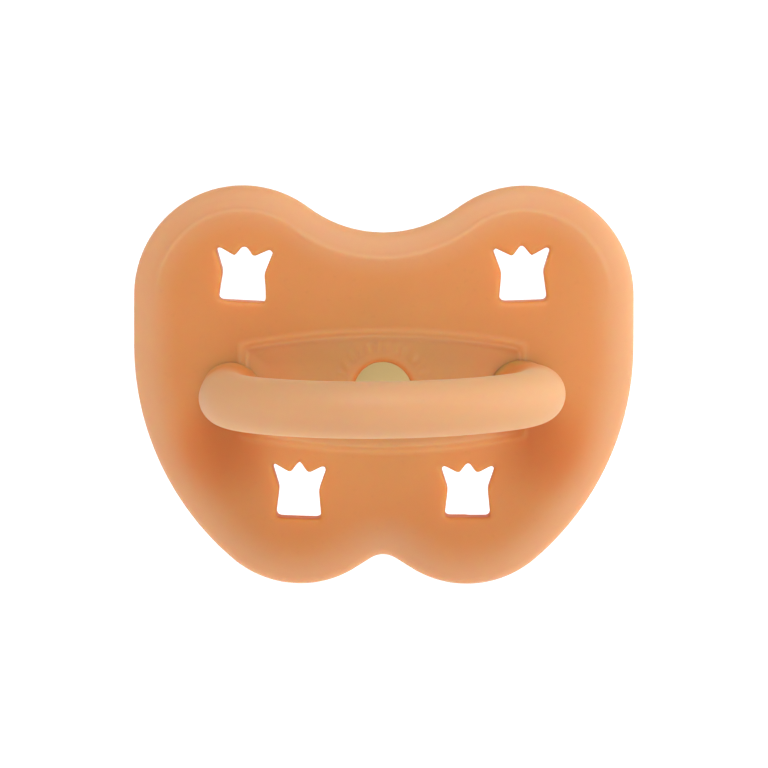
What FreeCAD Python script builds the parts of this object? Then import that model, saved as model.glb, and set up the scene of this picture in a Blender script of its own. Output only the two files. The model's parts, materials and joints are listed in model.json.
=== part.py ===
import FreeCAD, Part
import math
import os

import Sketcher
from FreeCAD import Placement, Rotation, Vector

# Natural rubber pacifier, in millimetres. +Z is up, and the child's mouth is on the +Y side.
# The origin is the centre of the front hole, on the floor of the recess.
#
# shield        domed plate with four crown-shaped air vents, a recess and a collar for the teat
# teat_flange   the teat's foot, held in the groove inside the collar
# teat_neck     the stretch of the teat that bends
# teat_bulb     the hollow bulb
# handle_loop   the thick round loop
# handle_foot_left, handle_foot_right   the stretches where the loop bends on the shield

SIZES = {
    # shield outline
    "shield_width": 56.0,
    "side_radius": 31.7,
    "side_height": 4.6,
    "top_lobe_height": 22.6,
    "top_lobe_radius": 12.4,
    "top_notch_height": 17.5,
    "bottom_lobe_depth": 22.2,
    "bottom_lobe_radius": 11.5,
    "bottom_notch_depth": 18.7,
    "bottom_notch_radius": 2.4,
    # shield section
    "dome_radius": 118.0,
    "shield_thickness": 3.2,
    "rim_radius": 1.3,
    "cutter_reach": 12.0,
    "recess_depth": 0.7,
    "recess_width": 31.0,
    "recess_half_height": 6.5,
    "recess_end_half_height": 4.9,
    # air vents
    "vent_width": 6.6,
    "vent_waist": 4.7,
    "vent_foot": 5.2,
    "vent_height": 6.3,
    "vent_tip_drop": 0.3,
    "vent_notch_depth": 1.35,
    "vent_notch_spread": 0.95,
    "top_vent_spread": 15.5,
    "top_vent_rise": 13.1,
    "bottom_vent_spread": 9.45,
    "bottom_vent_drop": 11.0,
    # front hole and the teat's seat
    "front_hole_radius": 3.2,
    "floor_thickness": 2.0,
    "collar_radius": 10.6,
    "collar_back": 5.2,
    "collar_sink": 0.8,
    "lip_thickness": 1.5,
    "lip_clearance": 0.4,
    # teat
    "flange_radius": 8.6,
    "neck_radius": 5.4,
    "teat_wall": 1.3,
    "neck_start": 6.0,
    "neck_end": 11.5,
    "waist_radius": 10.0,
    "bulb_radius": 8.3,
    "bulb_centre": 23.0,
    # loop handle
    "bar_radius": 3.05,
    "root_spread": 15.5,
    "loop_half_width": 17.1,
    "foot_length": 4.2,
    "loop_depth": 18.2,
    "crown_radius": 19.0,
    "foot_embed": 1.8,
    "root_flare": 0.25,
}

doc = FreeCAD.newDocument("pacifier")
sheet = doc.addObject("Spreadsheet::Sheet", "sizes")
for row, (alias, value) in enumerate(SIZES.items(), start=1):
    sheet.set("A%d" % row, alias)
    sheet.set("B%d" % row, str(value))
    sheet.setAlias("B%d" % row, alias)
doc.recompute()

START, END, CENTRE = 1, 2, 3
ORIGIN = (-1, 1)
VERTICAL_AXIS = -2

# A sketch on the front plane has its own Y along the part's Z, and an extrusion of it runs along Y.
FRONT_PLANE = Placement(Vector(0, 0, 0), Rotation(Vector(1, 0, 0), 90))
ALONG_Y = Rotation(Vector(1, 0, 0), -90)


def size(alias):
    return float(sheet.get(alias))


def polar(centre, radius, degrees):
    """The point of a circle at an angle from its sketch's X axis."""
    turn = math.radians(degrees)
    return Vector(centre[0] + radius * math.cos(turn), centre[1] + radius * math.sin(turn), 0)


def arc(centre, radius, start, end):
    """An arc of a sketch, counter-clockwise from start to end, in degrees."""
    circle = Part.Circle(Vector(centre[0], centre[1], 0), Vector(0, 0, 1), radius)
    return Part.ArcOfCircle(circle, math.radians(start), math.radians(end))


def line(start, end):
    return Part.LineSegment(Vector(start[0], start[1], 0), Vector(end[0], end[1], 0))


def chain(points):
    """A closed run of straight lines through the points."""
    return [line(point, points[(i + 1) % len(points)]) for i, point in enumerate(points)]


def drive(sketch, kind, places, expression):
    """Adds a named dimension to a sketch and binds it to the sheet."""
    value = float(sketch.evalExpression(expression))
    index = sketch.addConstraint(Sketcher.Constraint(kind, *places, value))
    name = "%s_%d" % (kind.lower(), index)
    sketch.renameConstraint(index, name)
    sketch.setExpression("Constraints." + name, expression)


def fix_point(sketch, point, across, up):
    """Places a point of a sketch by its distances across and up, written as expressions."""
    for kind, expression in (("DistanceX", across), ("DistanceY", up)):
        if expression.startswith("-"):
            drive(sketch, kind, (*point, *ORIGIN), expression[1:])
        else:
            drive(sketch, kind, (*ORIGIN, *point), expression)


def join(sketch, kind, places):
    for place in places:
        sketch.addConstraint(Sketcher.Constraint(kind, *place))


def bind(thing, bindings):
    for path, expression in bindings.items():
        thing.setExpression(path, expression)
    return thing


def make(kind, name, **properties):
    """Adds an object of the document and sets its plain properties."""
    thing = doc.addObject(kind, name)
    for key, value in properties.items():
        setattr(thing, key, value)
    return thing


# ---------------------------------------------------------------- shield


def outline_start():
    """Where the outline's arcs begin, worked out from the sheet, so that the sketch solves at once."""
    half = size("shield_width") / 2
    lobe = (half - size("top_lobe_radius"), size("top_lobe_height") - size("top_lobe_radius"))
    rise = size("top_notch_height") - lobe[1]
    gap = lobe[0] ** 2 + rise ** 2 - size("top_lobe_radius") ** 2
    notch_radius = gap / (2 * (size("top_lobe_radius") - rise))
    notch = (0, size("top_notch_height") + notch_radius)
    side = (half - size("side_radius"), size("side_height"))
    low_z = size("bottom_lobe_radius") - size("bottom_lobe_depth")
    reach = size("side_radius") - size("bottom_lobe_radius")
    low = (side[0] + math.sqrt(reach ** 2 - (side[1] - low_z) ** 2), low_z)
    nick = (0, -size("bottom_notch_depth") - size("bottom_notch_radius"))
    return half, lobe, notch_radius, notch, side, low, nick


def half_outline():
    """The right half of the shield's outline: a lobe above, a lobe below and half of each notch."""
    sketch = make("Sketcher::SketchObject", "shield_outline", Placement=FRONT_PLANE)
    half, lobe, notch_radius, notch, side, low, nick = outline_start()
    lobe_end = math.degrees(math.atan2(notch[1] - lobe[1], notch[0] - lobe[0]))
    side_end = math.degrees(math.atan2(low[1] - side[1], low[0] - side[0]))
    gap = math.dist(low, nick)
    reach = size("bottom_lobe_radius") + size("bottom_notch_radius")
    slope = 90 - math.degrees(math.acos(reach / gap) + math.atan2(low[1] - nick[1], low[0]))
    run_start = polar(low, size("bottom_lobe_radius"), 270 - slope)
    run_end = polar(nick, size("bottom_notch_radius"), 90 - slope)
    pieces = [arc(notch, notch_radius, 270, 180 + lobe_end)]
    pieces.append(arc(lobe, size("top_lobe_radius"), 0, lobe_end))
    pieces.append(line((half, lobe[1]), (half, side[1])))
    pieces.append(arc(side, size("side_radius"), side_end, 0))
    pieces.append(arc(low, size("bottom_lobe_radius"), 270 - slope, 360 + side_end))
    pieces.append(line(run_start, run_end))
    pieces.append(arc(nick, size("bottom_notch_radius"), 90 - slope, 90))
    pieces.append(line((0, -size("bottom_notch_depth")), (0, size("top_notch_height"))))
    sketch.addGeometry(pieces, False)
    join(sketch, "Tangent", [(0, END, 1, END), (1, START, 2, START), (2, END, 3, END)])
    join(sketch, "Tangent", [(3, START, 4, END), (4, START, 5, START), (5, END, 6, START)])
    join(sketch, "Coincident", [(6, END, 7, START), (7, END, 0, START)])
    on_axis = [(0, CENTRE), (6, CENTRE), (7, START), (7, END)]
    join(sketch, "PointOnObject", [(*point, VERTICAL_AXIS) for point in on_axis])
    join(sketch, "Vertical", [(2,)])
    drive(sketch, "Radius", (1,), "sizes.top_lobe_radius")
    drive(sketch, "Radius", (3,), "sizes.side_radius")
    drive(sketch, "Radius", (4,), "sizes.bottom_lobe_radius")
    drive(sketch, "Radius", (6,), "sizes.bottom_notch_radius")
    drive(sketch, "DistanceX", (*ORIGIN, 2, START), "sizes.shield_width / 2")
    drive(sketch, "DistanceY", (*ORIGIN, 1, CENTRE), "sizes.top_lobe_height - sizes.top_lobe_radius")
    drive(sketch, "DistanceY", (*ORIGIN, 3, CENTRE), "sizes.side_height")
    drive(sketch, "DistanceY", (4, CENTRE, *ORIGIN), "sizes.bottom_lobe_depth - sizes.bottom_lobe_radius")
    drive(sketch, "DistanceY", (*ORIGIN, 7, END), "sizes.top_notch_height")
    drive(sketch, "DistanceY", (7, START, *ORIGIN), "sizes.bottom_notch_depth")
    return sketch


def dome(name, depth):
    """A solid ball whose front point is depth millimetres behind the shield's face."""
    ball = make("Part::Sphere", name)
    return bind(ball, {
        "Radius": "sizes.dome_radius - %s" % depth,
        ".Placement.Base.y": "sizes.dome_radius - sizes.recess_depth",
    })


def block(name, sketch):
    """A straight block with the sketch's outline, long enough to pass the whole shield."""
    solid = make("Part::Extrusion", name, Base=sketch, DirMode="Normal", Solid=True)
    return bind(solid, {"LengthFwd": "sizes.cutter_reach", "LengthRev": "sizes.cutter_reach"})


def cylinder(name, radius, start, end):
    """A cylinder along Y, from start to end."""
    rod = make("Part::Cylinder", name, Placement=Placement(Vector(0, 0, 0), ALONG_Y))
    return bind(rod, {
        "Radius": radius,
        "Height": "(%s) - (%s)" % (end, start),
        ".Placement.Base.y": start,
    })


def domed_plate():
    right = block("outline_right", half_outline())
    left = make("Part::Mirroring", "outline_left", Source=right, Normal=Vector(1, 0, 0))
    whole = make("Part::Fuse", "outline_block", Base=right, Tool=left, Refine=True)
    skin = make("Part::Cut", "dome_skin", Base=dome("dome_front", "0"),
                Tool=dome("dome_back", "sizes.shield_thickness"))
    return make("Part::Common", "plate", Base=whole, Tool=skin)


def rounded_plate():
    """Every edge of the plate that isn't straight runs along its rim, and is rounded."""
    plate = domed_plate()
    doc.recompute()
    edges = enumerate(plate.Shape.Edges, start=1)
    rim = [i for i, edge in edges if not isinstance(edge.Curve, Part.Line)]
    radius = size("rim_radius")
    rounded = make("Part::Fillet", "rounded_plate", Base=plate)
    rounded.Edges = [(i, radius, radius) for i in rim]
    return rounded


def recess_outline():
    """A barrel: two bowed long sides between two short upright ends."""
    sketch = make("Sketcher::SketchObject", "recess_outline", Placement=FRONT_PLANE)
    half, end, mid = size("recess_width") / 2, size("recess_end_half_height"), size("recess_half_height")
    bow = (half ** 2 + (mid - end) ** 2) / (2 * (mid - end))
    turn = math.degrees(math.asin(half / bow))
    pieces = [arc((0, mid - bow), bow, 90 - turn, 90 + turn), line((-half, end), (-half, -end))]
    pieces += [arc((0, bow - mid), bow, 270 - turn, 270 + turn), line((half, -end), (half, end))]
    sketch.addGeometry(pieces, False)
    join(sketch, "Coincident", [(0, END, 1, START), (1, END, 2, START), (2, END, 3, START)])
    join(sketch, "Coincident", [(3, END, 0, START)])
    join(sketch, "PointOnObject", [(0, CENTRE, VERTICAL_AXIS), (2, CENTRE, VERTICAL_AXIS)])
    join(sketch, "Vertical", [(1,), (3,)])
    join(sketch, "Equal", [(0, 2)])
    fix_point(sketch, (3, END), "sizes.recess_width / 2", "sizes.recess_end_half_height")
    fix_point(sketch, (1, END), "-sizes.recess_width / 2", "-sizes.recess_end_half_height")
    rise = "(sizes.recess_half_height - sizes.recess_end_half_height)"
    drive(sketch, "Radius", (0,), "(sizes.recess_width^2 / 4 + %s^2) / (2 * %s)" % (rise, rise))
    return sketch


def vent_outline():
    """A crown with three points, centred on the sketch's origin."""
    sketch = make("Sketcher::SketchObject", "vent_outline", Placement=FRONT_PLANE)
    top = size("vent_height") / 2
    right = [(size("vent_foot") / 2, -top), (size("vent_waist") / 2, 0)]
    right.append((size("vent_width") / 2, top - size("vent_tip_drop")))
    right.append((size("vent_notch_spread"), top - size("vent_notch_depth")))
    left = [(-x, z) for x, z in reversed(right)]
    sketch.addGeometry(chain(right + [(0, top)] + left), False)
    count = 2 * len(right) + 1
    join(sketch, "Coincident", [(i, END, (i + 1) % count, START) for i in range(count)])
    pairs = [(i, START, count - 1 - i, START, VERTICAL_AXIS) for i in range(len(right))]
    join(sketch, "Symmetric", pairs)
    join(sketch, "PointOnObject", [(len(right), START, VERTICAL_AXIS)])
    fix_point(sketch, (0, START), "sizes.vent_foot / 2", "-sizes.vent_height / 2")
    drive(sketch, "DistanceX", (*ORIGIN, 1, START), "sizes.vent_waist / 2")
    join(sketch, "PointOnObject", [(1, START, -1)])
    fix_point(sketch, (2, START), "sizes.vent_width / 2", "sizes.vent_height / 2 - sizes.vent_tip_drop")
    fix_point(sketch, (3, START), "sizes.vent_notch_spread", "sizes.vent_height / 2 - sizes.vent_notch_depth")
    drive(sketch, "DistanceY", (*ORIGIN, 4, START), "sizes.vent_height / 2")
    return sketch


def vents():
    """Four crown-shaped blocks, where the air vents go through."""
    sketch = vent_outline()
    places = {
        "vent_top_left": ("-sizes.top_vent_spread", "sizes.top_vent_rise"),
        "vent_top_right": ("sizes.top_vent_spread", "sizes.top_vent_rise"),
        "vent_bottom_left": ("-sizes.bottom_vent_spread", "-sizes.bottom_vent_drop"),
        "vent_bottom_right": ("sizes.bottom_vent_spread", "-sizes.bottom_vent_drop"),
    }
    blocks = []
    for name, (across, up) in places.items():
        vent = block(name, sketch)
        blocks.append(bind(vent, {".Placement.Base.x": across, ".Placement.Base.z": up}))
    return blocks


def shield():
    groove_back = "sizes.collar_back - sizes.lip_thickness"
    recess = make("Part::Cut", "recess", Base=block("recess_block", recess_outline()),
                  Tool=dome("recess_floor", "sizes.recess_depth"))
    collar_front = "sizes.floor_thickness - sizes.collar_sink"
    collar = cylinder("collar", "sizes.collar_radius", collar_front, "sizes.collar_back")
    body = make("Part::Fuse", "plate_and_collar", Base=rounded_plate(), Tool=collar)
    cutters = [recess, *vents()]
    hole_radius = "sizes.front_hole_radius"
    cutters.append(cylinder("front_hole", hole_radius, "-sizes.cutter_reach", "sizes.collar_back"))
    cutters.append(cylinder("flange_groove", "sizes.flange_radius", "sizes.floor_thickness", groove_back))
    lip_radius = "sizes.neck_radius + sizes.lip_clearance"
    cutters.append(cylinder("lip_opening", lip_radius, "sizes.floor_thickness", "sizes.cutter_reach"))
    tools = make("Part::MultiFuse", "shield_cutters", Shapes=cutters)
    return make("Part::Cut", "shield", Base=body, Tool=tools)


# ---------------------------------------------------------------- teat


def new_body(name):
    return doc.addObject("PartDesign::Body", name)


def origin_plane(body, role):
    return next(item for item in body.Origin.OriginFeatures if item.Role == role)


def body_sketch(body, name, role):
    sketch = body.newObject("Sketcher::SketchObject", name)
    sketch.AttachmentSupport = [(origin_plane(body, role), "")]
    sketch.MapMode = "FlatFace"
    return sketch


def turned(body, sketch):
    """Turns a profile all the way round the Y axis."""
    doc.recompute()
    feature = body.newObject("PartDesign::Revolution", body.Name + "_turned")
    feature.Profile = sketch
    feature.ReferenceAxis = (sketch, ["V_Axis"])
    feature.Angle = 360
    return body


def stepped_ring(name, corners):
    """A turned ring whose profile has the corners given, each as two expressions."""
    body = new_body(name)
    sketch = body_sketch(body, name + "_profile", "XY_Plane")
    values = [tuple(float(sheet.evalExpression(text)) for text in corner) for corner in corners]
    sketch.addGeometry(chain(values), False)
    count = len(corners)
    join(sketch, "Coincident", [(i, END, (i + 1) % count, START) for i in range(count)])
    for i, (across, up) in enumerate(corners):
        fix_point(sketch, (i, START), across, up)
    return turned(body, sketch)


def teat_flange():
    bore = "sizes.neck_radius - sizes.teat_wall"
    seat, back = "sizes.floor_thickness", "sizes.collar_back - sizes.lip_thickness"
    corners = [(bore, seat), ("sizes.flange_radius", seat), ("sizes.flange_radius", back)]
    corners += [("sizes.neck_radius", back), ("sizes.neck_radius", "sizes.neck_start")]
    corners.append((bore, "sizes.neck_start"))
    return stepped_ring("teat_flange", corners)


def teat_neck():
    bore = "sizes.neck_radius - sizes.teat_wall"
    corners = [(bore, "sizes.neck_start"), ("sizes.neck_radius", "sizes.neck_start")]
    corners += [("sizes.neck_radius", "sizes.neck_end"), (bore, "sizes.neck_end")]
    return stepped_ring("teat_neck", corners)


def teat_bulb():
    """The neck opens through a hollow curve into a ball, with one wall thickness all along."""
    body = new_body("teat_bulb")
    sketch = body_sketch(body, "teat_bulb_profile", "XY_Plane")
    neck, wall, waist = size("neck_radius"), size("teat_wall"), size("waist_radius")
    ball, middle, start = size("bulb_radius"), size("bulb_centre"), size("neck_end")
    drop = math.sqrt((ball + waist) ** 2 - (neck + waist) ** 2)
    bend = (neck + waist, middle - drop)
    turn = math.degrees(math.atan2(drop, neck + waist))
    pieces = [line((neck, start), (neck, bend[1])), arc(bend, waist, 180 - turn, 180)]
    pieces += [arc((0, middle), ball, -turn, 90), line((0, middle + ball), (0, middle + ball - wall))]
    pieces += [arc((0, middle), ball - wall, -turn, 90), arc(bend, waist + wall, 180 - turn, 180)]
    pieces += [line((neck - wall, bend[1]), (neck - wall, start)), line((neck - wall, start), (neck, start))]
    sketch.addGeometry(pieces, False)
    join(sketch, "Tangent", [(0, END, 1, END), (1, START, 2, START), (4, START, 5, START)])
    join(sketch, "Tangent", [(5, END, 6, START)])
    join(sketch, "Coincident", [(2, END, 3, START), (3, END, 4, END)])
    join(sketch, "Coincident", [(6, END, 7, START), (7, END, 0, START)])
    join(sketch, "Coincident", [(1, CENTRE, 5, CENTRE), (2, CENTRE, 4, CENTRE)])
    on_axis = [(2, CENTRE), (3, START), (3, END)]
    join(sketch, "PointOnObject", [(*point, VERTICAL_AXIS) for point in on_axis])
    join(sketch, "Horizontal", [(7,)])
    join(sketch, "Vertical", [(0,)])
    fix_point(sketch, (0, START), "sizes.neck_radius", "sizes.neck_end")
    drive(sketch, "Radius", (1,), "sizes.waist_radius")
    drive(sketch, "Radius", (2,), "sizes.bulb_radius")
    drive(sketch, "DistanceY", (*ORIGIN, 2, CENTRE), "sizes.bulb_centre")
    drive(sketch, "Radius", (4,), "sizes.bulb_radius - sizes.teat_wall")
    return turned(body, sketch)


# ---------------------------------------------------------------- loop handle


def handle_loop():
    """A round bar along a flat arch: a crown between two shoulders."""
    body = new_body("handle_loop")
    spine = body_sketch(body, "loop_spine", "XY_Plane")
    half, start, depth = size("loop_half_width"), size("foot_length"), size("loop_depth")
    crown = size("crown_radius")
    above = crown - depth + start
    shoulder = (crown ** 2 - half ** 2 - above ** 2) / (2 * (crown - half))
    turn = math.degrees(math.atan2(above, half - shoulder))
    pieces = [arc((0, crown - depth), crown, 180 + turn, 360 - turn)]
    pieces.append(arc((half - shoulder, -start), shoulder, -turn, 0))
    pieces.append(arc((shoulder - half, -start), shoulder, 180, 180 + turn))
    spine.addGeometry(pieces, False)
    join(spine, "Tangent", [(0, END, 1, START), (2, END, 0, START)])
    join(spine, "PointOnObject", [(0, CENTRE, VERTICAL_AXIS)])
    join(spine, "Horizontal", [(1, CENTRE, 1, END), (2, CENTRE, 2, START)])
    drive(spine, "Radius", (0,), "sizes.crown_radius")
    drive(spine, "DistanceY", (*ORIGIN, 0, CENTRE), "sizes.crown_radius - sizes.loop_depth")
    fix_point(spine, (1, END), "sizes.loop_half_width", "-sizes.foot_length")
    fix_point(spine, (2, START), "-sizes.loop_half_width", "-sizes.foot_length")
    profile = body_sketch(body, "loop_profile", "XZ_Plane")
    profile.setExpression(".AttachmentOffset.Base.z", "sizes.foot_length")
    profile.addGeometry(Part.Circle(Vector(-half, 0, 0), Vector(0, 0, 1), size("bar_radius")), False)
    drive(profile, "Radius", (0,), "sizes.bar_radius")
    drive(profile, "DistanceX", (0, CENTRE, *ORIGIN), "sizes.loop_half_width")
    join(profile, "PointOnObject", [(0, CENTRE, -1)])
    doc.recompute()
    pipe = body.newObject("PartDesign::AdditivePipe", "loop_bar")
    pipe.Profile = profile
    pipe.Spine = (spine, ["Edge3", "Edge1", "Edge2"])
    return body


def foot_ring(name, across, along, radius):
    ring = make("Part::Circle", name, Placement=FRONT_PLANE)
    return bind(ring, {
        "Radius": radius,
        ".Placement.Base.x": across,
        ".Placement.Base.y": along,
    })


def handle_foot(name, side, plate):
    """A short leaning stretch of the bar, bonded face to face on the shield. side is + or -."""
    lean = "(sizes.loop_half_width - sizes.root_spread) / sizes.foot_length"
    sunk = "%s(sizes.root_spread - %s * sizes.foot_embed)" % (side, lean)
    sections = [foot_ring(name + "_root", sunk, "sizes.foot_embed", "sizes.bar_radius + sizes.root_flare")]
    outer = side + "sizes.loop_half_width"
    sections.append(foot_ring(name + "_end", outer, "-sizes.foot_length", "sizes.bar_radius"))
    leg = make("Part::Loft", name + "_leg", Sections=sections, Solid=True, Ruled=True)
    return make("Part::Cut", name, Base=leg, Tool=plate)


# ---------------------------------------------------------------- the whole part


def check_document():
    """Stops if any object failed, because a recompute can leave one failed without saying so."""
    doc.recompute()
    for thing in doc.Objects:
        bad = [state for state in thing.State if state in ("Invalid", "Error")]
        if bad:
            raise RuntimeError("%s is %s" % (thing.Name, bad))


def write(part):
    shape = part.Shape
    if shape.isNull() or not shape.isValid() or len(shape.Solids) != 1:
        raise RuntimeError("%s isn't one valid solid" % part.Name)
    part.Label = part.Name
    shape.exportStep("parts/%s.step" % part.Label)
    box = shape.BoundBox
    print("%-18s %8.1f mm3  x %.2f..%.2f  y %.2f..%.2f  z %.2f..%.2f" % (
        part.Label, shape.Volume, box.XMin, box.XMax, box.YMin, box.YMax, box.ZMin, box.ZMax))


plate = shield()
parts = [plate, teat_flange(), teat_neck(), teat_bulb(), handle_loop()]
parts.append(handle_foot("handle_foot_left", "-", plate))
parts.append(handle_foot("handle_foot_right", "+", plate))
check_document()
os.makedirs("parts", exist_ok=True)
for part in parts:
    write(part)
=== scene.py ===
import json
import math

import bmesh
import bpy
from mathutils import Matrix, Vector, kdtree


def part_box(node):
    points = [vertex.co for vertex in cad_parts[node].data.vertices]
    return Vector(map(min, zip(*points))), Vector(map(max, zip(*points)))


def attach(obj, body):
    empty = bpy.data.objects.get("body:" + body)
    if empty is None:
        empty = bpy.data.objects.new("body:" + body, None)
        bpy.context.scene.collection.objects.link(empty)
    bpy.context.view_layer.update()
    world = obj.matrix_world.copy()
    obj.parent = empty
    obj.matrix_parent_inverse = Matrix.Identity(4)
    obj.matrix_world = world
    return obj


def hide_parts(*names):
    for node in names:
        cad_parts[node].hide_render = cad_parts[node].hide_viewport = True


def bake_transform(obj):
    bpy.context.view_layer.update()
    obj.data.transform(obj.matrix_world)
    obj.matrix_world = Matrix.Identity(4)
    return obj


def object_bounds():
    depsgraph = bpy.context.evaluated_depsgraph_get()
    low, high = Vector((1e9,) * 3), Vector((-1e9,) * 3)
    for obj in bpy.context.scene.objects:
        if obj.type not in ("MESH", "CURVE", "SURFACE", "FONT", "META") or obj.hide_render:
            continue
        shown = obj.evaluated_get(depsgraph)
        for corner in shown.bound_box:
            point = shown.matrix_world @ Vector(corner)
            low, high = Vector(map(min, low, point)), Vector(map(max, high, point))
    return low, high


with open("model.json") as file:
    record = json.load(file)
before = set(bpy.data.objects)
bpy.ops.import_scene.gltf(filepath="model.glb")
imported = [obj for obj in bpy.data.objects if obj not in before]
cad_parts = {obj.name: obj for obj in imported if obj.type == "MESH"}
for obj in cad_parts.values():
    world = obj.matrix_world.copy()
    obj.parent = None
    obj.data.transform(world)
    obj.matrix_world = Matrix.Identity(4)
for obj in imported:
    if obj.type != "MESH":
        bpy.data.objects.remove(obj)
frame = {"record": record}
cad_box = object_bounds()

# A natural rubber pacifier: an orange shield and loop handle, and a hollow cream teat.
# Metres, +Z up, the child's mouth on the +Y side, the loop handle on the -Y side.

# The pieces are modelled in millimetres and turned into metres when each is finished.
MM = 0.001

# ---------------------------------------------------------------- sizes, in millimetres


def sizes_of(node_name):
    """The low and high corners of a node's box in millimetres."""
    return [[value / MM for value in corner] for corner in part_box(node_name)]


SHIELD_LOW, SHIELD_HIGH = sizes_of("shield")
LOOP_LOW, LOOP_HIGH = sizes_of("handle_loop")
BULB_LOW, BULB_HIGH = sizes_of("teat_bulb")
FLANGE_LOW, FLANGE_HIGH = sizes_of("teat_flange")
HOLE = next(mount for mount in frame["record"]["mounts"] if mount["name"] == "front_hole")

# shield outline
HALF_WIDTH = SHIELD_HIGH[0]
LOBE_TOP = SHIELD_HIGH[2]
LOBE_BOTTOM = -SHIELD_LOW[2]
TOP_NOTCH = 17.5
BOTTOM_NOTCH = 18.7
TOP_LOBE_RADIUS = 12.4
SIDE_RADIUS = 31.7
SIDE_HEIGHT = 4.6
BOTTOM_LOBE_RADIUS = 11.5
BOTTOM_NOTCH_RADIUS = 2.4
OUTLINE_STEP = 0.6

# shield section: the front is nearer the viewer, and the rim's band slopes back to its shoulder
FACE = -0.7
THICKNESS = 3.2
FRONT_LIMIT = 0.2
RELIEF_LIMIT = 0.3
DOME_RADIUS = 118.0
DOME_INNER_START = 0.3
RIM_WIDTH = 2.6
RIM_DROP = 1.1
BACK_ROUNDING = 1.2
SHOULDER_ROUNDING = 0.9
CREST_ROUNDING = 1.1
VOXEL = 0.25
SMOOTHINGS = 5

# recess, front hole and the teat's seat
RECESS_HALF_WIDTH = 15.5
RECESS_HALF_HEIGHT = 6.5
RECESS_END_HALF_HEIGHT = 4.9
RECESS_FRONT = FACE - 0.1
RECESS_CORNER = 1.1
RECESS_TAPER = (0.975, 1, 0.93)
RECESS_FLOOR_ROUNDING = 0.3
RECESS_DISH = 0.38
# painted light on the recess's floor, lifting its shade, and partly its thinner rubber's paler tone
RECESS_PAINTED_LIGHT = 0.25
HOLE_RADIUS = HOLE["dims"]["r_mm"]
COLLAR_RADIUS = 10.6
COLLAR_BACK = 5.2
LIP_FRONT = 3.7
LIP_RADIUS = 5.8

# low relief: a ring and rays round the front hole, and the mould's fine lines
RING_RADIUS = 3.75
RING_HEIGHT = 0.07
RAYS = 30
RAY_HEIGHT = 0.09
RECESS_LINE = 0.12
RECESS_LINE_OFFSET = 0.25
CREST_LINE = 0.11
CREST_LINE_OFFSET = 0.1
# painted highlight: the fine raised lines are painted paler
LINE_PAINTED_HIGHLIGHT = 2.2
FINE_STEP = 0.15

# the painted shadows of the loop's legs, beside and below their roots, across and up
LEG_SHADOW_SPOT = (18.0, -6.0)
LEG_SHADOW_TONE = 0.85

# where each change of height or tone starts and ends
RING_SIDES = (0.25, 0.6)
RAY_INNER_END = (4.3, 4.7)
RAY_OUTER_END = (5.3, 5.8)
RAY_SIDES = (0.1, 0.35)
LINE_SIDES = (0.05, 0.45)
CREST_LINE_HEIGHTS = (9, 15)
DISH_DEPTHS = (FACE + 0.1, -0.1)
DISH_BAND = (0.3, 3.2)
BORDER_BAND = (0.4, 5.5)
FLOOR_FRONT = (FACE + 0.2, -0.1)
FLOOR_BACK = (0.5, 1.0)
WALL_STEEPNESS = (0.2, 0.6)
WALL_INSIDE_RIM = (2.5, 3.5)
WALL_OFF_RECESS = (0.9, 1.5)
HOLE_EDGE = (HOLE_RADIUS + 0.2, HOLE_RADIUS + 0.6)
LEG_SHADOW_BAND = (1.0, 8.0)

# air vents, each cut a little differently: middle across and up, tilt in degrees, width and height
VENT_MOUTH = 0.4
MOUTH_STEPS = 5
VENTS = [
    (-15.5, 13.05, -2.5, 6.8, 6.4),
    (15.45, 13.1, 1.5, 6.7, 6.4),
    (-9.35, -11.1, -1.5, 6.4, 6.6),
    (9.45, -11.05, -0.5, 6.4, 6.4),
]
# the right half of a crown from its foot to its middle point, as shares of half its width and height
HALF_CROWN = [(0.8, -1.0), (0.69, 0.0), (1.0, 0.93), (0.31, 0.56), (0.0, 1.0)]

# loop handle
BAR_RADIUS = LOOP_HIGH[2]
LOOP_HALF = LOOP_HIGH[0] - BAR_RADIUS
CROWN_FRONT = LOOP_LOW[1] + BAR_RADIUS
FOOT_END = LOOP_HIGH[1]
CROWN_RADIUS = 19.0
ROOT_BEND = 7.0
ROOT_END = 2.0
# a root from its bend into the shield: each step's share of the way, and how much it widens
ROOT_STEPS = [(0.16, 1.0), (0.14, 1.01), (0.13, 1.02), (0.12, 1.04), (0.45, 1.04)]
RIGHT_LEAN = 24.0
LEFT_LEAN = 3.0
LOOP_ROLL = 0.7
# painted light on the loop's bar, less of it on the roots, and painted shade on the roots where they go into
# the shield
BAR_PAINTED_LIGHT = 1.0
ROOT_PAINTED_LIGHT = 0.15
ROOT_PAINTED_SHADE = 0.6
ROOT_BAND = (-8.0, -1.5)

# teat
WALL = 1.3
NECK_RADIUS = 5.4
BULB_RADIUS = BULB_HIGH[0]
BULB_CENTRE = BULB_HIGH[1] - BULB_RADIUS
WAIST_RADIUS = 10.0
FLANGE_RADIUS = FLANGE_HIGH[0]
FLANGE_ROUNDING = 0.3
TIP_TURN = 87


# ---------------------------------------------------------------- modelling helpers


def only(obj):
    """Leaves obj alone selected and active."""
    bpy.ops.object.select_all(action="DESELECT")
    obj.select_set(True)
    bpy.context.view_layer.objects.active = obj


def edit(obj):
    """Opens obj in edit mode with everything selected, and returns its mesh."""
    only(obj)
    bpy.ops.object.mode_set(mode="EDIT")
    bpy.ops.mesh.select_mode(type="VERT")
    bpy.ops.mesh.select_all(action="SELECT")
    return bmesh.from_edit_mesh(obj.data)


def done():
    """Closes edit mode."""
    bpy.ops.object.mode_set(mode="OBJECT")


def normals_out(obj):
    """Turns every face outwards."""
    edit(obj)
    bpy.ops.mesh.normals_make_consistent(inside=False)
    done()


def pick_faces(mesh, test):
    """In edit mode, selects the faces for which test(face) is true, and nothing else."""
    bpy.ops.mesh.select_mode(type="FACE")
    bpy.ops.mesh.select_all(action="DESELECT")
    for face in mesh.faces:
        face.select_set(test(face))
    mesh.select_flush_mode()


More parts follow.
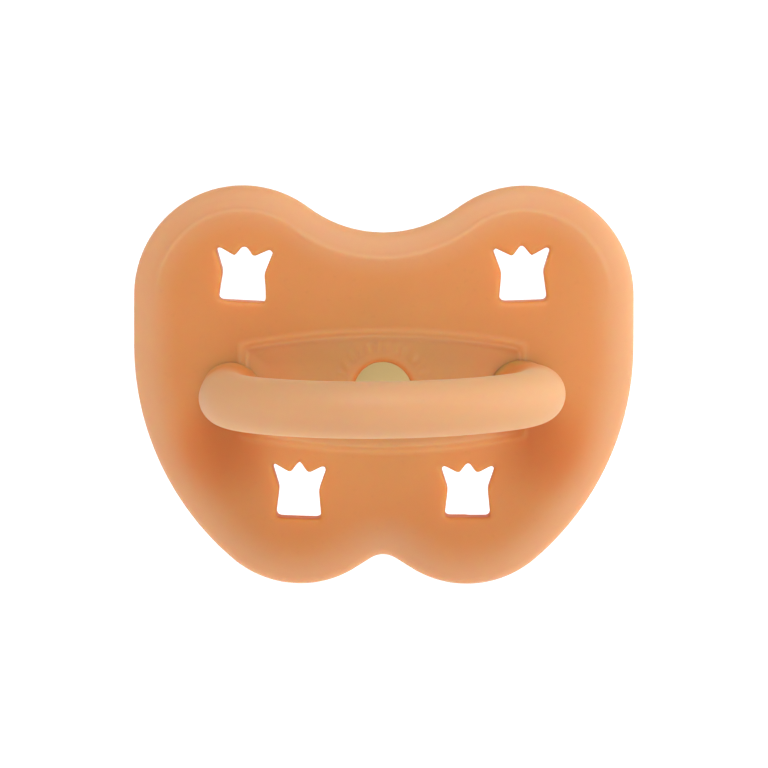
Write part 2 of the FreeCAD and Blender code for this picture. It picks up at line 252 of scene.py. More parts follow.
def pick_edges(mesh, test):
    """In edit mode, selects the edges for which test(edge) is true, and nothing else."""
    bpy.ops.mesh.select_mode(type="EDGE")
    bpy.ops.mesh.select_all(action="DESELECT")
    for edge in mesh.edges:
        edge.select_set(test(edge))
    mesh.select_flush_mode()


def at_depth(edge, depth):
    """Whether the whole edge lies in the plane at that depth along Y."""
    return all(abs(vertex.co.y - depth) < 0.001 for vertex in edge.verts)


def plate_blank(name, points, front, back):
    """A flat blank with the outline given as (x, z) points, from front to back along Y."""
    bpy.ops.object.select_all(action="DESELECT")
    bpy.ops.mesh.primitive_circle_add(vertices=len(points), fill_type="NGON")
    blank = bpy.context.object
    blank.name = name
    for vertex, (x, z) in zip(blank.data.vertices, points):
        vertex.co = (x, front, z)
    edit(blank)
    bpy.ops.mesh.extrude_region_move(TRANSFORM_OT_translate={"value": (0, back - front, 0)})
    done()
    normals_out(blank)
    return blank


def rod(name, radius, start, end, sides=96):
    """A round rod along Y through the origin's axis."""
    bpy.ops.object.select_all(action="DESELECT")
    middle = (0, (start + end) / 2, 0)
    bpy.ops.mesh.primitive_cylinder_add(vertices=sides, radius=radius, depth=end - start,
                                        location=middle, rotation=(math.pi / 2, 0, 0))
    piece = bpy.context.object
    piece.name = name
    bpy.ops.object.transform_apply(location=True, rotation=True, scale=True)
    return piece


def apply_modifier(obj, kind, **settings):
    """Adds a modifier with these settings and applies it."""
    only(obj)
    modifier = obj.modifiers.new(kind.title(), kind)
    for key, value in settings.items():
        setattr(modifier, key, value)
    bpy.ops.object.modifier_apply(modifier=modifier.name)


def carve(obj, tool, operation="DIFFERENCE"):
    """Cuts the tool out of obj, or joins it on, and removes the tool."""
    apply_modifier(obj, "BOOLEAN", object=tool, operation=operation, solver="EXACT")
    bpy.data.objects.remove(tool, do_unlink=True)


def in_metres(obj):
    """Turns a piece modelled in millimetres into metres."""
    only(obj)
    obj.scale = (MM, MM, MM)
    bpy.ops.object.transform_apply(location=True, rotation=True, scale=True)


def smooth_shade(obj, angle=None):
    """Shades obj smooth all over, or only where its faces meet at less than angle degrees."""
    only(obj)
    if angle is None:
        bpy.ops.object.shade_smooth()
    else:
        bpy.ops.object.shade_smooth_by_angle(angle=math.radians(angle))


def arc_points(centre, radius, start, end, step=OUTLINE_STEP):
    """Points along an arc from start to end degrees, without the last one."""
    count = max(3, round(abs(math.radians(end - start)) * radius / step))
    turns = [math.radians(start + (end - start) * i / count) for i in range(count)]
    return [(centre[0] + radius * math.cos(turn), centre[1] + radius * math.sin(turn)) for turn in turns]


def run_points(start, end, step=OUTLINE_STEP):
    """Points along a straight run from start to end, without the last one."""
    count = max(1, round(math.dist(start, end) / step))
    return [tuple(a + (b - a) * i / count for a, b in zip(start, end)) for i in range(count)]


# ---------------------------------------------------------------- shield


def shield_outline():
    """Two lobes above and two below, with a notch between each pair, as (x, z) points."""
    lobe = (HALF_WIDTH - TOP_LOBE_RADIUS, LOBE_TOP - TOP_LOBE_RADIUS)
    rise = TOP_NOTCH - lobe[1]
    notch_radius = (lobe[0] ** 2 + rise ** 2 - TOP_LOBE_RADIUS ** 2) / (2 * (TOP_LOBE_RADIUS - rise))
    notch = (0, TOP_NOTCH + notch_radius)
    side = (HALF_WIDTH - SIDE_RADIUS, SIDE_HEIGHT)
    low_z = BOTTOM_LOBE_RADIUS - LOBE_BOTTOM
    reach = SIDE_RADIUS - BOTTOM_LOBE_RADIUS
    low = (side[0] + math.sqrt(reach ** 2 - (side[1] - low_z) ** 2), low_z)
    nick = (0, -BOTTOM_NOTCH - BOTTOM_NOTCH_RADIUS)
    lobe_end = math.degrees(math.atan2(notch[1] - lobe[1], -lobe[0]))
    side_end = math.degrees(math.atan2(low[1] - side[1], low[0] - side[0]))
    gap = math.dist(low, nick)
    tilt = math.degrees(math.atan2(low[1] - nick[1], low[0]))
    turn = math.degrees(math.acos((BOTTOM_LOBE_RADIUS + BOTTOM_NOTCH_RADIUS) / gap)) + tilt
    right = arc_points(nick, BOTTOM_NOTCH_RADIUS, 90, turn)
    nick_end = arc_points(nick, BOTTOM_NOTCH_RADIUS, turn, 0)[0]
    low_start = arc_points(low, BOTTOM_LOBE_RADIUS, turn + 180, 360)[0]
    right += run_points(nick_end, low_start)
    right += arc_points(low, BOTTOM_LOBE_RADIUS, turn + 180, 360 + side_end)
    right += arc_points(side, SIDE_RADIUS, side_end, 0)
    right += run_points((HALF_WIDTH, side[1]), (HALF_WIDTH, lobe[1]))
    right += arc_points(lobe, TOP_LOBE_RADIUS, 0, lobe_end)
    right += arc_points(notch, notch_radius, 180 + lobe_end, 270)
    right.append((0, TOP_NOTCH))
    return right + [(-x, z) for x, z in reversed(right[1:-1])]


def domed(point):
    """How far back the dome lies at a point. The collar's back and the teat's seat stay flat."""
    sag = DOME_RADIUS - math.sqrt(DOME_RADIUS ** 2 - point.x ** 2 - point.z ** 2)
    inner = math.hypot(point.x, point.z) < (FLANGE_RADIUS + COLLAR_RADIUS) / 2
    band = (DOME_INNER_START, FLANGE_LOW[1] - 0.1) if inner else (FACE + THICKNESS, COLLAR_BACK)
    return sag * (1 - ease(point.y, *band))


def rimmed_plate():
    """The flat blank with a band all round that slopes back, and rounded edges."""
    shoulder, back = FACE + RIM_DROP, FACE + THICKNESS
    plate = plate_blank("shield", shield_outline(), shoulder, back)
    mesh = edit(plate)
    pick_faces(mesh, lambda face: face.normal.y < -0.9)
    bpy.ops.mesh.inset(thickness=RIM_WIDTH)
    bpy.ops.transform.translate(value=(0, -RIM_DROP, 0))
    pick_edges(mesh, lambda edge: at_depth(edge, back))
    bpy.ops.mesh.bevel(offset=BACK_ROUNDING, segments=5, profile=0.5)
    pick_edges(mesh, lambda edge: at_depth(edge, shoulder))
    bpy.ops.mesh.bevel(offset=SHOULDER_ROUNDING, segments=5, profile=0.5)
    pick_edges(mesh, lambda edge: at_depth(edge, FACE))
    bpy.ops.mesh.bevel(offset=CREST_ROUNDING, segments=6, profile=0.5)
    done()
    return plate


def crown(across, up, tilt, wide, tall, grow=0.0):
    """The crown's outline as (x, z) points, grown outwards by grow."""
    plain = HALF_CROWN + [(-x, z) for x, z in reversed(HALF_CROWN[:-1])]
    points = [Vector((x * wide / 2, z * tall / 2)) for x, z in plain]
    grown = []
    for i, point in enumerate(points):
        before = (point - points[i - 1]).normalized()
        after = (points[(i + 1) % len(points)] - point).normalized()
        out = Vector((before.y + after.y, -before.x - after.x))
        grown.append(point + out * (grow / max(0.5, out.length_squared / 2)))
    turn = Matrix.Rotation(math.radians(tilt), 2)
    middle = Vector((across, up))
    return [tuple(middle + turn @ point) for point in grown]


def vent_tool(across, up, tilt, wide, tall):
    """A crown-shaped punch whose front widens in a quarter round, so that it rounds the vent's mouth."""
    outline = crown(across, up, tilt, wide, tall)
    tool = plate_blank("vent_tool", outline, FACE + VENT_MOUTH, FACE + THICKNESS + 2)
    mesh = edit(tool)
    pick_faces(mesh, lambda face: face.normal.y < -0.9)
    order = nearest_order(mesh, outline)
    for i in range(1, MOUTH_STEPS + 1):
        turn = math.pi / 2 * i / MOUTH_STEPS
        bpy.ops.mesh.extrude_region_move(TRANSFORM_OT_translate={"value": (0, -0.01, 0)})
        grown = crown(across, up, tilt, wide, tall, VENT_MOUTH * (1 - math.cos(turn)))
        place_ring(mesh, order, grown, FACE + VENT_MOUTH * (1 - math.sin(turn)))
    bpy.ops.mesh.extrude_region_move(TRANSFORM_OT_translate={"value": (0, -2, 0)})
    done()
    normals_out(tool)
    return tool


def nearest_order(mesh, outline):
    """For the corners of the selected end face in order, which point of the outline each is."""
    face = next(face for face in mesh.faces if face.select)
    corners = [(loop.vert.co.x, loop.vert.co.z) for loop in face.loops]
    return [min(range(len(outline)), key=lambda i: math.dist(outline[i], corner)) for corner in corners]


def place_ring(mesh, order, points, depth):
    """Moves the corners of the selected end face onto the points, at that depth."""
    face = next(face for face in mesh.faces if face.select)
    for loop, i in zip(face.loops, order):
        loop.vert.co = (points[i][0], depth, points[i][1])


def recess_outline(bow_step, end_step):
    """A barrel, bowed above and below, with upright ends."""
    half, middle, end = RECESS_HALF_WIDTH, RECESS_HALF_HEIGHT, RECESS_END_HALF_HEIGHT
    bow = (half ** 2 + (middle - end) ** 2) / (2 * (middle - end))
    turn = math.degrees(math.asin(half / bow))
    points = arc_points((0, middle - bow), bow, 90 - turn, 90 + turn, bow_step)
    points += run_points((-half, end), (-half, -end), end_step)
    points += arc_points((0, bow - middle), bow, 270 - turn, 270 + turn, bow_step)
    return points + run_points((half, -end), (half, end), end_step)


def recess_tool():
    """The recess's block, which narrows to a rounded edge round its floor."""
    half = RECESS_HALF_WIDTH
    outline = recess_outline(OUTLINE_STEP, 2 * RECESS_END_HALF_HEIGHT)
    tool = plate_blank("recess_tool", outline, RECESS_FRONT, 0)
    mesh = edit(tool)
    pick_edges(mesh, lambda edge: abs(edge.verts[0].co.y - edge.verts[1].co.y) > 0.5
               and all(abs(abs(vertex.co.x) - half) < 0.001 for vertex in edge.verts))
    bpy.ops.mesh.bevel(offset=RECESS_CORNER, segments=5)
    pick_faces(mesh, lambda face: face.normal.y > 0.9)
    bpy.ops.transform.resize(value=RECESS_TAPER)
    pick_edges(mesh, lambda edge: at_depth(edge, 0))
    bpy.ops.mesh.bevel(offset=RECESS_FLOOR_ROUNDING, segments=3)
    done()
    return tool


def ease(value, start, end):
    """0 before start, 1 after end, and a smooth climb between them."""
    share = min(1.0, max(0.0, (value - start) / (end - start)))
    return share * share * (3 - 2 * share)


def relief(point):
    """The height of the low ring round the front hole and of the short rays round that."""
    radius = math.hypot(point.x, point.z)
    if point.y > RELIEF_LIMIT or radius > RAY_OUTER_END[1]:
        return 0.0
    ring = RING_HEIGHT * (1 - ease(abs(radius - RING_RADIUS), *RING_SIDES))
    turn = math.atan2(point.z, point.x) * RAYS / (2 * math.pi)
    off_ray = abs(turn - round(turn)) * 2 * math.pi * radius / RAYS
    along = ease(radius, *RAY_INNER_END) * (1 - ease(radius, *RAY_OUTER_END))
    return ring + RAY_HEIGHT * along * (1 - ease(off_ray, *RAY_SIDES))


def distances(plate, outline):
    """How far each vertex is from an outline, seen from the front."""
    tree = kdtree.KDTree(len(outline))
    for i, (x, z) in enumerate(outline):
        tree.insert((x, 0, z), i)
    tree.balance()
    return [tree.find((vertex.co.x, 0, vertex.co.z))[2] for vertex in plate.data.vertices]


def fine_line(gap, middle, height):
    """The height of a fine raised line that runs at that distance from an outline."""
    return height * (1 - ease(abs(gap - middle), *LINE_SIDES))


def mould_lines(point, edge_gap, recess_gap):
    """The height of the fine raised lines round the recess and along the crest of the upper rim."""
    if point.y > FRONT_LIMIT:
        return 0.0
    crest = CREST_LINE * ease(point.z, *CREST_LINE_HEIGHTS)
    round_recess = fine_line(recess_gap, RECESS_LINE_OFFSET, RECESS_LINE)
    return round_recess + fine_line(edge_gap, RIM_WIDTH + CREST_LINE_OFFSET, crest)


def dish(point, recess_gap):
    """How far the recess's floor rises towards its edge."""
    if point.y > FRONT_LIMIT:
        return 0.0
    return RECESS_DISH * ease(point.y, *DISH_DEPTHS) * (1 - ease(recess_gap, *DISH_BAND))


def paleness(point, edge_gap, lines):
    """The border is paler, partly from the thinner rubber's own tone and partly as painted light on the rim;
    the recess's floor is paler, partly for its thinner rubber and partly as painted light that lifts its
    shade; the fine lines are paler as a painted highlight.
    """
    border = 1 - ease(edge_gap, *BORDER_BAND)
    sunk = ease(point.y, *FLOOR_FRONT) * (1 - ease(point.y, *FLOOR_BACK))
    return max(border, RECESS_PAINTED_LIGHT * sunk) + LINE_PAINTED_HIGHLIGHT * lines


def shade_to_paint(point, steepness, edge_gap, recess_gap):
    """Painted shade: the walls of the openings and the hole's edge are darker, and so are the painted
    shadows of the loop's legs beside their roots.
    """
    wall = steepness * ease(edge_gap, *WALL_INSIDE_RIM) * ease(recess_gap, *WALL_OFF_RECESS)
    hole_edge = 1 - ease(math.hypot(point.x, point.z), *HOLE_EDGE)
    from_spot = math.hypot(abs(point.x) - LEG_SHADOW_SPOT[0], point.z - LEG_SHADOW_SPOT[1])
    return max(wall, hole_edge, LEG_SHADOW_TONE * (1 - ease(from_spot, *LEG_SHADOW_BAND)))


def shape_surface(plate):
    """Domes the plate, adds its fine relief, and marks where its colour is pale, partly as its own tone and
    partly as painted light, and where painted shade darkens it.
    """
    to_edge = distances(plate, shield_outline())
    to_recess = distances(plate, recess_outline(FINE_STEP, FINE_STEP))
    pale_and_painted_light = plate.data.attributes.new("pale_and_painted_light", "FLOAT", "POINT")
    painted_shade = plate.data.attributes.new("painted_shade", "FLOAT", "POINT")
    steepness = [1 - ease(abs(vertex.normal.y), *WALL_STEEPNESS) for vertex in plate.data.vertices]
    for i, vertex in enumerate(plate.data.vertices):
        point = vertex.co
        lines = mould_lines(point, to_edge[i], to_recess[i])
        pale_and_painted_light.data[i].value = paleness(point, to_edge[i], lines)
        painted_shade.data[i].value = shade_to_paint(point, steepness[i], to_edge[i], to_recess[i])
        lift = relief(point) + dish(point, to_recess[i]) + lines
        point.y += domed(point) - lift


def make_shield():
    """The plate with its collar, recess, vents, hole and the teat's seat, remeshed as one skin."""
    plate = rimmed_plate()
    carve(plate, rod("collar", COLLAR_RADIUS, FACE + THICKNESS - 1, COLLAR_BACK), "UNION")
    carve(plate, recess_tool())
    for vent in VENTS:
        carve(plate, vent_tool(*vent))
    carve(plate, rod("front_hole", HOLE_RADIUS, FACE - 3, COLLAR_BACK + 1))
    carve(plate, rod("flange_groove", FLANGE_RADIUS, FLANGE_LOW[1], LIP_FRONT))
    carve(plate, rod("lip_opening", LIP_RADIUS, FLANGE_LOW[1] + 0.5, COLLAR_BACK + 1))
    apply_modifier(plate, "REMESH", mode="VOXEL", voxel_size=VOXEL)
    apply_modifier(plate, "SMOOTH", factor=0.5, iterations=SMOOTHINGS)
    shape_surface(plate)
    in_metres(plate)
    smooth_shade(plate)
    return plate


# ---------------------------------------------------------------- loop handle


def arch_shape():
    """The shoulder's radius, and the angle at which the crown's arc hands over to it."""
    above = FOOT_END - CROWN_FRONT - CROWN_RADIUS
    shoulder = (CROWN_RADIUS ** 2 - LOOP_HALF ** 2 - above ** 2) / (2 * (CROWN_RADIUS - LOOP_HALF))
    return shoulder, math.atan2(LOOP_HALF - shoulder, -above)


def spin_bar(angle, centre, steps):
    """Spins the bar's open end round an upright axis."""
    bpy.ops.mesh.spin(steps=steps, angle=angle, center=centre, axis=(0, 0, -1))


def half_bar(name, lean):
    """Half the bar: half its crown, a shoulder and a root, which widens where it enters the shield."""
    shoulder, turn = arch_shape()
    bpy.ops.object.select_all(action="DESELECT")
    bpy.ops.mesh.primitive_circle_add(vertices=64, radius=BAR_RADIUS, location=(0, CROWN_FRONT, 0),
                                      rotation=(0, math.pi / 2, 0))
    bar = bpy.context.object
    bar.name = name
    bpy.ops.object.transform_apply(location=True, rotation=True, scale=True)
    edit(bar)
    spin_bar(turn, (0, CROWN_FRONT + CROWN_RADIUS, 0), 24)
    spin_bar(math.pi / 2 - turn, (LOOP_HALF - shoulder, FOOT_END, 0), 18)
    lean = math.radians(lean)
    spin_bar(lean, (LOOP_HALF - ROOT_BEND, FOOT_END, 0), 8)
    direction = Vector((-math.sin(lean), math.cos(lean), 0))
    left_to_go = (ROOT_END - FOOT_END - ROOT_BEND * math.sin(lean)) / direction.y
    for share, grow in ROOT_STEPS:
        step = direction * left_to_go * share
        bpy.ops.mesh.extrude_region_move(TRANSFORM_OT_translate={"value": tuple(step)})
        bpy.ops.transform.resize(value=(grow, grow, grow))
    bpy.ops.mesh.edge_face_add()
    done()
    return bar


def tint_roots(bar):
    """Marks the slim bar paler as painted light, fading towards the roots, and its roots darker as painted
    shade where they meet the shield.
    """
    pale_and_painted_light = bar.data.attributes.new("pale_and_painted_light", "FLOAT", "POINT")
    painted_shade = bar.data.attributes.new("painted_shade", "FLOAT", "POINT")
    for vertex, pale, dark in zip(bar.data.vertices, pale_and_painted_light.data, painted_shade.data):
        root = ease(vertex.co.y, *ROOT_BAND)
        pale.value = BAR_PAINTED_LIGHT + (ROOT_PAINTED_LIGHT - BAR_PAINTED_LIGHT) * root
        dark.value = ROOT_PAINTED_SHADE * root


def make_handle():
    """The right leg leans in to its root and the left one runs nearly straight back."""
    bar, left = half_bar("handle_loop", RIGHT_LEAN), half_bar("left_half", LEFT_LEAN)
    only(left)
    left.scale.x = -1
    bpy.ops.object.transform_apply(location=True, rotation=True, scale=True)
    only(bar)
    left.select_set(True)
    bpy.ops.object.join()
    edit(bar)
    bpy.ops.mesh.remove_doubles(threshold=0.005)
    bpy.ops.transform.rotate(value=math.radians(LOOP_ROLL), orient_axis="Y", center_override=(0, 0, 0))
    done()
    normals_out(bar)
    tint_roots(bar)
    in_metres(bar)
    smooth_shade(bar, 60)
    return bar


# ---------------------------------------------------------------- teat


def curve_rings(centre, radius, start, end, steps):
    """(y, r) of points on a profile arc round a centre (r, y); the angles run from the r axis."""
    rings = []
    for i in range(1, steps + 1):
        turn = math.radians(start + (end - start) * i / steps)
        rings.append((centre[1] + radius * math.sin(turn), centre[0] + radius * math.cos(turn)))
    return rings


def teat_wall(offset):
    """The (y, r) rings of the teat's wall from its neck to its tip, offset inwards."""
    drop = math.sqrt((BULB_RADIUS + WAIST_RADIUS) ** 2 - (NECK_RADIUS + WAIST_RADIUS) ** 2)
    bend = (NECK_RADIUS + WAIST_RADIUS, BULB_CENTRE - drop)
    turn = math.degrees(math.atan2(drop, bend[0]))
    run = bend[1] - FLANGE_HIGH[1]
    neck = [(FLANGE_HIGH[1] + run * i / 8, NECK_RADIUS - offset) for i in range(9)]
    waist = curve_rings(bend, WAIST_RADIUS + offset, 180, 180 - turn, 12)
    ball = curve_rings((0, BULB_CENTRE), BULB_RADIUS - offset, -turn, TIP_TURN, 28)
    return neck + waist + ball


def ringed_skin(name, rings, tip):
    """A turned skin through (y, r) rings, closed by a pole at the tip."""
    bpy.ops.object.select_all(action="DESELECT")
    y, radius = rings[0]
    bpy.ops.mesh.primitive_circle_add(vertices=72, radius=radius, location=(0, y, 0),
                                      rotation=(math.pi / 2, 0, 0))
    skin = bpy.context.object
    skin.name = name
    bpy.ops.object.transform_apply(location=True, rotation=True, scale=True)
    edit(skin)
    for after_y, after_radius in rings[1:]:
        grow = after_radius / radius
        bpy.ops.mesh.extrude_region_move(TRANSFORM_OT_translate={"value": (0, after_y - y, 0)})
        bpy.ops.transform.resize(value=(grow, 1, grow), center_override=(0, after_y, 0))
        y, radius = after_y, after_radius
    bpy.ops.mesh.extrude_region_move(TRANSFORM_OT_translate={"value": (0, tip - y, 0)})
    bpy.ops.mesh.merge(type="CENTER")
    done()
    return skin


def make_teat():
    """The flange, neck and bulb outside, and the hollow inside, joined at the flange's bore."""
    seat, back, corner = FLANGE_LOW[1], LIP_FRONT, FLANGE_ROUNDING
    bore = NECK_RADIUS - WALL
    flange = [(seat, bore), (seat, FLANGE_RADIUS - corner), (seat + corner, FLANGE_RADIUS)]
    flange += [(back - corner, FLANGE_RADIUS), (back, FLANGE_RADIUS - corner)]
    flange += [(back, NECK_RADIUS + corner), (back + corner, NECK_RADIUS)]
    tip = BULB_CENTRE + BULB_RADIUS
    outside = ringed_skin("teat", flange + teat_wall(0), tip)
    inside = ringed_skin("teat_hollow", [(seat, bore), (back, bore)] + teat_wall(WALL), tip - WALL)
    bpy.ops.object.select_all(action="DESELECT")
    inside.select_set(True)
    outside.select_set(True)
    bpy.context.view_layer.objects.active = outside
    bpy.ops.object.join()
    edit(outside)
    bpy.ops.mesh.remove_doubles(threshold=0.001)
    done()
    normals_out(outside)
    in_metres(outside)
    smooth_shade(outside, 50)
    return outside


# ---------------------------------------------------------------- materials


# pale tone and painted light: partly the thinner rubber's own paler tone at the rim, partly painted light on
# the rim, the recess floor, the fine lines and the loop's bar
PALE_TONE_AND_PAINTED_LIGHT_COLOR = (0.54, 0.365, 0.205, 1)
# painted shade: the colour laid where the mesh is marked as lying in shade or shadow
PAINTED_SHADE_COLOR = (0.51, 0.125, 0.004, 1)
PAINTED_SHADE_AMOUNT = 0.8
CLOUD_AMOUNT = 0.6
CLOUD_SPREAD = {"From Min": 0.38, "From Max": 0.66}
SPECK_SPREAD = {"From Min": 0.62, "From Max": 0.78, "To Min": 1.0, "To Max": 0.955}
CLOUD_ROUGHNESS = 0.16
GRAIN_SCALE = 3000.0
GRAIN_HEIGHT = 0.04 * MM


def node(tree, kind, place, **values):
    """Adds a shader node; values set its properties, or its sockets where the name is one."""
    made = tree.nodes.new(kind)
    made.location = place
    for key, value in values.items():
        if key in made.inputs:
            made.inputs[key].default_value = value
        else:
            setattr(made, key, value)
    return made


def group_sockets(group):
    """What the rubber's finish takes, and what it gives."""
    inputs = {"Body Color": "Color", "Cloud Color": "Color", "Pale Tone And Painted Light Color": "Color", "Painted Shade Color": "Color",
              "Cloud Amount": "Float", "Pale Tone And Painted Light Amount": "Float", "Painted Shade Amount": "Float",
              "Roughness": "Float", "Grain Scale": "Float"}
    for name, kind in inputs.items():
        group.interface.new_socket(name=name, in_out="INPUT", socket_type="NodeSocket" + kind)
    for name, kind in {"Color": "Color", "Roughness": "Float", "Height": "Float"}.items():
        group.interface.new_socket(name=name, in_out="OUTPUT", socket_type="NodeSocket" + kind)


def times(group, first, second, place):
    """The product of two values."""
    product = node(group, "ShaderNodeMath", place, operation="MULTIPLY")
    group.links.new(first, product.inputs[0])
    group.links.new(second, product.inputs[1])
    return product.outputs["Value"]


def mixed(group, share, below, above, place):
    """One colour laid over another by a share."""
    mix = node(group, "ShaderNodeMix", place, data_type="RGBA")
    group.links.new(share, mix.inputs["Factor"])
    group.links.new(below, mix.inputs[6])
    group.links.new(above, mix.inputs[7])
    return mix.outputs[2]


def marked_over(group, mark, amount, below, above, place):
    """One colour laid over another where the mesh's own mark says."""
    marks = node(group, "ShaderNodeAttribute", (place[0] - 400, place[1] + 250), attribute_name=mark)
    share = times(group, marks.outputs["Fac"], amount, (place[0] - 200, place[1] + 200))
    return mixed(group, share, below, above, place)


def rubber_group():
    """Colour, roughness and height of moulded natural rubber: soft clouds, fine specks and a satin grain,
    with the mesh's marks of pale tone, painted light and painted shade laid over the colour.
    """
    group = bpy.data.node_groups.new("moulded_rubber", "ShaderNodeTree")
    group_sockets(group)
    given = node(group, "NodeGroupInput", (-900, 0)).outputs
    result = node(group, "NodeGroupOutput", (1300, 0)).inputs
    place = node(group, "ShaderNodeTexCoord", (-900, -300))
    clouds = node(group, "ShaderNodeTexNoise", (-600, 200), Scale=70.0, Detail=4.0, Roughness=0.55)
    specks = node(group, "ShaderNodeTexNoise", (-600, -50), Scale=1400.0, Detail=2.0, Roughness=0.5)
    grain = node(group, "ShaderNodeTexNoise", (-600, -350), Detail=3.0, Roughness=0.6)
    for texture in (clouds, specks, grain):
        group.links.new(place.outputs["Object"], texture.inputs["Vector"])
    group.links.new(given["Grain Scale"], grain.inputs["Scale"])
    group.links.new(grain.outputs["Fac"], result["Height"])

    spread = node(group, "ShaderNodeMapRange", (-380, 200), **CLOUD_SPREAD)
    group.links.new(clouds.outputs["Fac"], spread.inputs["Value"])
    cloud_share = times(group, spread.outputs["Result"], given["Cloud Amount"], (-180, 200))
    clouded = mixed(group, cloud_share, given["Body Color"], given["Cloud Color"], (50, 200))
    darker = node(group, "ShaderNodeMapRange", (-180, -50), **SPECK_SPREAD)
    group.links.new(specks.outputs["Fac"], darker.inputs["Value"])
    speckled = node(group, "ShaderNodeVectorMath", (300, 150), operation="SCALE")
    group.links.new(clouded, speckled.inputs[0])
    group.links.new(darker.outputs["Result"], speckled.inputs["Scale"])
    # the pale mark lays its pale tone and painted light over the clouded colour
    paler = marked_over(group, "pale_and_painted_light", given["Pale Tone And Painted Light Amount"], speckled.outputs["Vector"], given["Pale Tone And Painted Light Color"],
                        (700, 200))
    # painted shade laid over the colour where the mesh is marked as shaded
    with_painted_shade = marked_over(group, "painted_shade", given["Painted Shade Amount"], paler, given["Painted Shade Color"], (1100, 200))
    group.links.new(with_painted_shade, result["Color"])

    rough = node(group, "ShaderNodeMath", (300, -50), operation="MULTIPLY_ADD")
    rough.inputs[1].default_value = CLOUD_ROUGHNESS
    group.links.new(spread.outputs["Result"], rough.inputs[0])
    group.links.new(given["Roughness"], rough.inputs[2])
    group.links.new(rough.outputs["Value"], result["Roughness"])
    return group


def rubber(name, group, body, cloud, rough, depth, reach, pale_and_painted_light=0.0):
    """A satin rubber that scatters light inside, down to depth metres and by reach in each colour; its
    colour takes the pale tone, painted light and painted shade of the mesh's marks.
    """
    material = bpy.data.materials.new(name)
    material.use_nodes = True
    tree = material.node_tree
    shader = tree.nodes["Principled BSDF"]
    finish = node(tree, "ShaderNodeGroup", (-500, 100), node_tree=group)
    values = {"Body Color": (*body, 1), "Cloud Color": (*cloud, 1), "Pale Tone And Painted Light Color": PALE_TONE_AND_PAINTED_LIGHT_COLOR,
              "Painted Shade Color": PAINTED_SHADE_COLOR, "Cloud Amount": CLOUD_AMOUNT, "Pale Tone And Painted Light Amount": pale_and_painted_light,
              "Painted Shade Amount": PAINTED_SHADE_AMOUNT, "Roughness": rough, "Grain Scale": GRAIN_SCALE}
    for key, value in values.items():
        finish.inputs[key].default_value = value
    tree.links.new(finish.outputs["Color"], shader.inputs["Base Color"])
    tree.links.new(finish.outputs["Roughness"], shader.inputs["Roughness"])
    bump = node(tree, "ShaderNodeBump", (-250, -250), Strength=0.12, Distance=GRAIN_HEIGHT)
    tree.links.new(finish.outputs["Height"], bump.inputs["Height"])
    tree.links.new(bump.outputs["Normal"], shader.inputs["Normal"])
    shader.inputs["Subsurface Weight"].default_value = 1.0
    shader.inputs["Subsurface Radius"].default_value = reach
    shader.inputs["Subsurface Scale"].default_value = depth
    shader.inputs["IOR"].default_value = 1.5
    shader.inputs["Specular IOR Level"].default_value = 0.4
    shader.inputs["Sheen Weight"].default_value = 0.1
    shader.inputs["Sheen Roughness"].default_value = 0.3
    shader.inputs["Sheen Tint"].default_value = (1.0, 0.88, 0.85, 1)
    return material


# ---------------------------------------------------------------- assembly

rubber_finish = rubber_group()
orange_rubber = rubber("orange_rubber", rubber_finish, body=(0.54, 0.225, 0.058),
                       cloud=(0.58, 0.255, 0.076), rough=0.5, depth=6.0 * MM,
                       reach=(1.0, 0.3, 0.1), pale_and_painted_light=0.6)
cream_rubber = rubber("cream_rubber", rubber_finish, body=(0.84, 0.52, 0.27),
                      cloud=(0.86, 0.56, 0.32), rough=0.3, depth=8.0 * MM,
                      reach=(1.0, 0.9, 0.75))


def finish_piece(piece, material):
    """Gives a piece its material."""
    piece.data.materials.clear()
    piece.data.materials.append(material)


shield = make_shield()
finish_piece(shield, orange_rubber)
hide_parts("shield")
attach(shield, "shield_body")

handle = make_handle()
finish_piece(handle, orange_rubber)
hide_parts("handle_loop", "handle_foot_left", "handle_foot_right")
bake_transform(handle)

teat = make_teat()
finish_piece(teat, cream_rubber)
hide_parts("teat_flange", "teat_neck", "teat_bulb")
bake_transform(teat)


# ---------------------------------------------------------------- studio


STAGE_SIZE = 4
SWEEP_RADIUS = 0.6
BACKDROP_HEIGHT = 1.5
FLOOR_GAP = 0.2 * MM
FLOOR_SHADE = (0.3, 0.3, 0.3, 1)
FLOOR_GLOW = 0.92
WHITE = (1, 1, 1, 1)
TENT_LIGHT = 0.38

# the view: degrees to the right of straight ahead, degrees up, and metres away
VIEW_TURN = 1.0
VIEW_RISE = 6.25
VIEW_DISTANCE = 0.44
VIEW_AIM = (0.14 * MM, 0, 0.8 * MM)
LENS_LENGTH = 186
SENSOR_WIDTH = 36


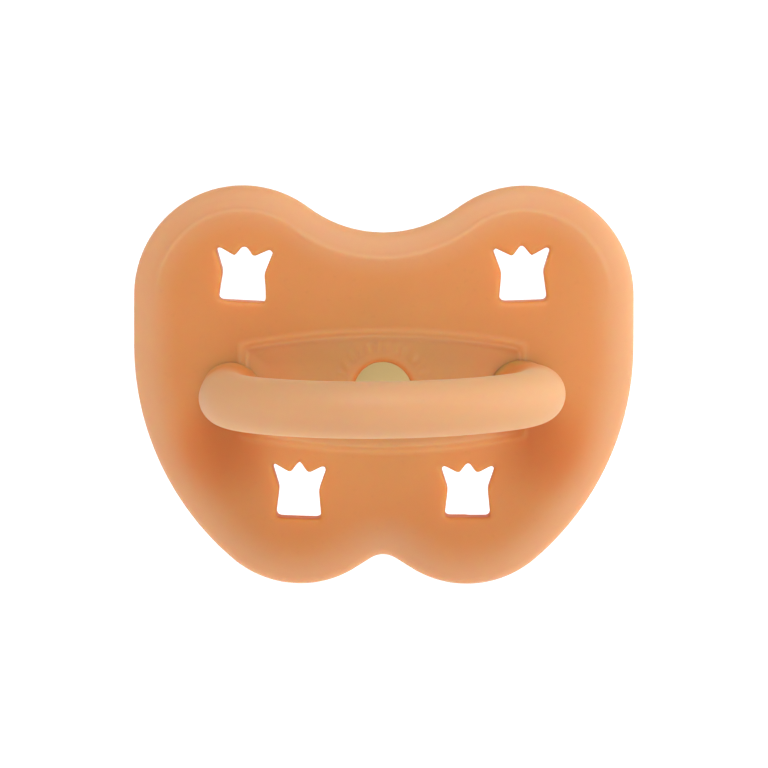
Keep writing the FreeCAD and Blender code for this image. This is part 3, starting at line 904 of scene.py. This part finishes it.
def pale_stage():
    """A pale floor that sweeps up into a backdrop and glows a little, as in a light tent."""
    floor_z = cad_box[0][2] - FLOOR_GAP
    bpy.ops.object.select_all(action="DESELECT")
    bpy.ops.mesh.primitive_plane_add(size=STAGE_SIZE, location=(0, 0, floor_z))
    floor = bpy.context.object
    floor.name = "floor"
    bpy.ops.object.transform_apply(location=True, rotation=True, scale=True)
    mesh = edit(floor)
    pick_edges(mesh, lambda edge: all(vertex.co.y > 1 for vertex in edge.verts))
    centre = (0, STAGE_SIZE / 2, floor_z + SWEEP_RADIUS)
    bpy.ops.mesh.spin(steps=12, angle=math.pi / 2, center=centre, axis=(-1, 0, 0))
    bpy.ops.mesh.extrude_region_move(TRANSFORM_OT_translate={"value": (0, 0, BACKDROP_HEIGHT)})
    done()
    smooth_shade(floor)
    material = bpy.data.materials.new("pale_floor")
    material.use_nodes = True
    shader = material.node_tree.nodes["Principled BSDF"]
    shader.inputs["Base Color"].default_value = FLOOR_SHADE
    shader.inputs["Roughness"].default_value = 0.9
    shader.inputs["Emission Color"].default_value = WHITE
    shader.inputs["Emission Strength"].default_value = FLOOR_GLOW
    floor.data.materials.append(material)


def soft_light(name, place, size, power):
    """A rectangular light that faces the object."""
    light = bpy.data.lights.new(name, "AREA")
    light.shape = "RECTANGLE"
    light.size, light.size_y = size
    light.energy = power
    lamp = bpy.data.objects.new(name, light)
    bpy.context.scene.collection.objects.link(lamp)
    lamp.location = place
    lamp.rotation_euler = (-Vector(place)).to_track_quat("-Z", "Y").to_euler()


def surroundings():
    """White light from all round."""
    world = bpy.data.worlds.new("light_tent")
    world.use_nodes = True
    sky = world.node_tree.nodes["Background"]
    sky.inputs["Color"].default_value = WHITE
    sky.inputs["Strength"].default_value = TENT_LIGHT
    bpy.context.scene.world = world
    bpy.context.scene.view_settings.view_transform = "Standard"


def camera():
    """A long lens a little above level and just right of straight ahead."""
    view = bpy.data.cameras.new("camera")
    view.lens = LENS_LENGTH
    view.sensor_width = SENSOR_WIDTH
    view.clip_start = 0.01
    lens = bpy.data.objects.new("camera", view)
    bpy.context.scene.collection.objects.link(lens)
    turn, rise = math.radians(VIEW_TURN), math.radians(VIEW_RISE)
    away = Vector((math.sin(turn) * math.cos(rise), -math.cos(turn) * math.cos(rise), math.sin(rise)))
    lens.location = Vector(VIEW_AIM) + away * VIEW_DISTANCE
    lens.rotation_euler = (-away).to_track_quat("-Z", "Y").to_euler()
    bpy.context.scene.camera = lens


pale_stage()
surroundings()
soft_light("top_light", (0.03, -0.42, 0.48), (0.45, 0.35), 2.9)
soft_light("right_light", (0.5, -0.18, 0.1), (0.22, 0.3), 1.05)
soft_light("edge_light", (0.42, 0.16, 0.12), (0.15, 0.4), 0.6)
soft_light("left_light", (-0.5, -0.22, 0.12), (0.3, 0.4), 0.3)
camera()
